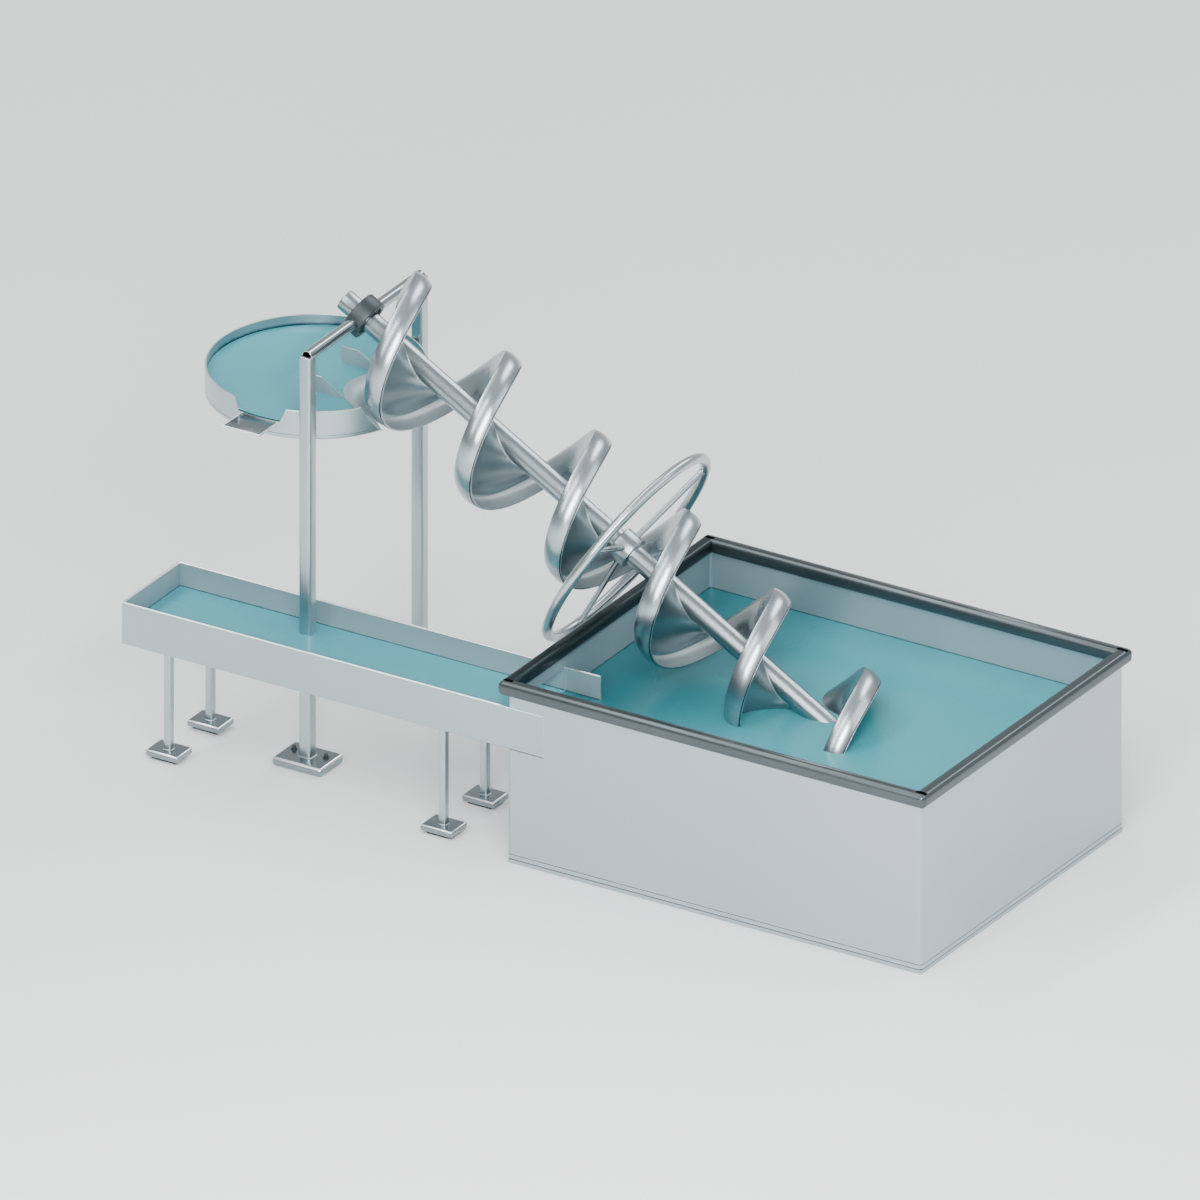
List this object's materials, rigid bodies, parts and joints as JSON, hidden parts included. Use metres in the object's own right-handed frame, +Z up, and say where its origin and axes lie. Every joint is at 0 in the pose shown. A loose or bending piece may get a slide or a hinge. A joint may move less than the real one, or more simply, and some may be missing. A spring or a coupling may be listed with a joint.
{
  "type": "archimedes screw pump",
  "caption": "Hand-turned open screw on an inclined shaft that lifts water from a tank to a round basin, with a return trough and a handwheel",
  "frame": {"origin": "centre of the bounding box on the floor, with the screw's axis over Y = 0", "axes": "+X along the pump from the basin's end to the tank, +Y to the back, away from the trough, +Z up"},
  "size_m": [2.3726, 0.9994, 1.2571],
  "materials": {
    "sheet_steel": "satin sheet",
    "tube_steel": "satin tube",
    "rail_steel": "darker satin tube",
    "bright_steel": "smooth, half polished",
    "flight_steel": "smooth, half polished",
    "bearing_grey": "dark grey satin paint",
    "water": "still surface"
  },
  "bodies": {
    "frame": {"tank_floor": "sheet_steel", "tank_wall_front": "sheet_steel", "tank_wall_back": "sheet_steel", "tank_wall_left": "sheet_steel", "tank_wall_right": "sheet_steel", "rim_rail_front": "rail_steel", "rim_rail_back": "rail_steel", "rim_rail_left": "rail_steel", "rim_rail_right": "rail_steel", "trough_floor": "sheet_steel", "trough_side_front": "sheet_steel", "trough_side_back": "sheet_steel", "trough_end": "sheet_steel", "trough_leg_front_left": "tube_steel", "trough_leg_front_right": "tube_steel", "trough_leg_back_left": "tube_steel", "trough_leg_back_right": "tube_steel", "post_front": "tube_steel", "post_back": "tube_steel", "post_base_front": "bright_steel", "post_base_back": "bright_steel", "crossbeam_front": "bright_steel", "crossbeam_back": "bright_steel", "upper_bearing": "bearing_grey", "lower_bearing": "bearing_grey", "lower_bearing_stand": "rail_steel", "basin_floor": "sheet_steel", "basin_wall_back": "sheet_steel", "basin_wall_left": "sheet_steel", "basin_wall_front": "sheet_steel", "spout_lip": "bright_steel", "screw_cradle": "sheet_steel", "cheek_front": "sheet_steel", "cheek_back": "sheet_steel"},
    "rotor": {"screw_shaft": "bright_steel", "wheel_hub_and_spokes": "bright_steel", "wheel_rim": "bright_steel", "flight_turn_1": "flight_steel", "flight_turn_2": "flight_steel", "flight_turn_3": "flight_steel", "flight_turn_4": "flight_steel", "flight_turn_5": "flight_steel", "flight_turn_6": "flight_steel"}
  },
  "joints": [
    {"name": "screw_spin", "type": "hinge", "parent": "frame", "child": "rotor", "pos_m": [-0.76844, 0, 1.136], "axis": [0.866, 0, -0.5], "continuous": true}
  ]
}
